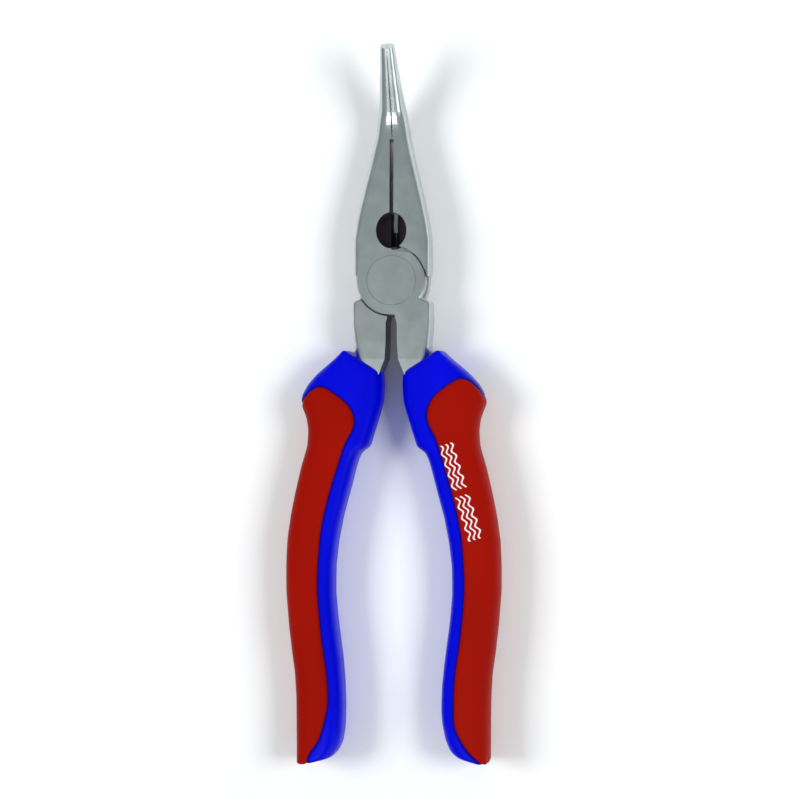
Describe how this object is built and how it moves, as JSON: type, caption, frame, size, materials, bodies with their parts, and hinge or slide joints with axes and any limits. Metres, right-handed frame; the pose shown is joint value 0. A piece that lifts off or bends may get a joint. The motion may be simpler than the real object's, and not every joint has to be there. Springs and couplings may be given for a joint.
{
  "type": "fishing pliers",
  "caption": "Bent long-nose fishing pliers: two forged halves on a flush rivet, with a line cutter and two-colour moulded grips.",
  "frame": {"origin": "on the pivot axis, at the joint's back face", "axes": "+Y from the pivot to the nose, +Z out of the front face along the pivot axis, towards which the nose bends, +X to the right of the front view"},
  "size_m": [0.061, 0.2012, 0.0215],
  "materials": {
    "forged_steel": "ground and satin polished",
    "rivet_steel": "ground flush",
    "grip_core": "moulded, semi-gloss",
    "grip_pad": "soft moulded, satin"
  },
  "bodies": {
    "front_body": {"front_half": "forged_steel", "pivot_rivet": "rivet_steel", "right_grip_core": "grip_core", "right_grip_pad": "grip_pad"},
    "rear_body": {"rear_half": "forged_steel", "left_grip_core": "grip_core", "left_grip_pad": "grip_pad"}
  },
  "joints": [
    {"name": "jaw_pivot", "type": "hinge", "parent": "front_body", "child": "rear_body", "pos_m": [0, 0, 0.0052], "axis": [0, 0, -1], "range_deg": [0, 33]}
  ]
}
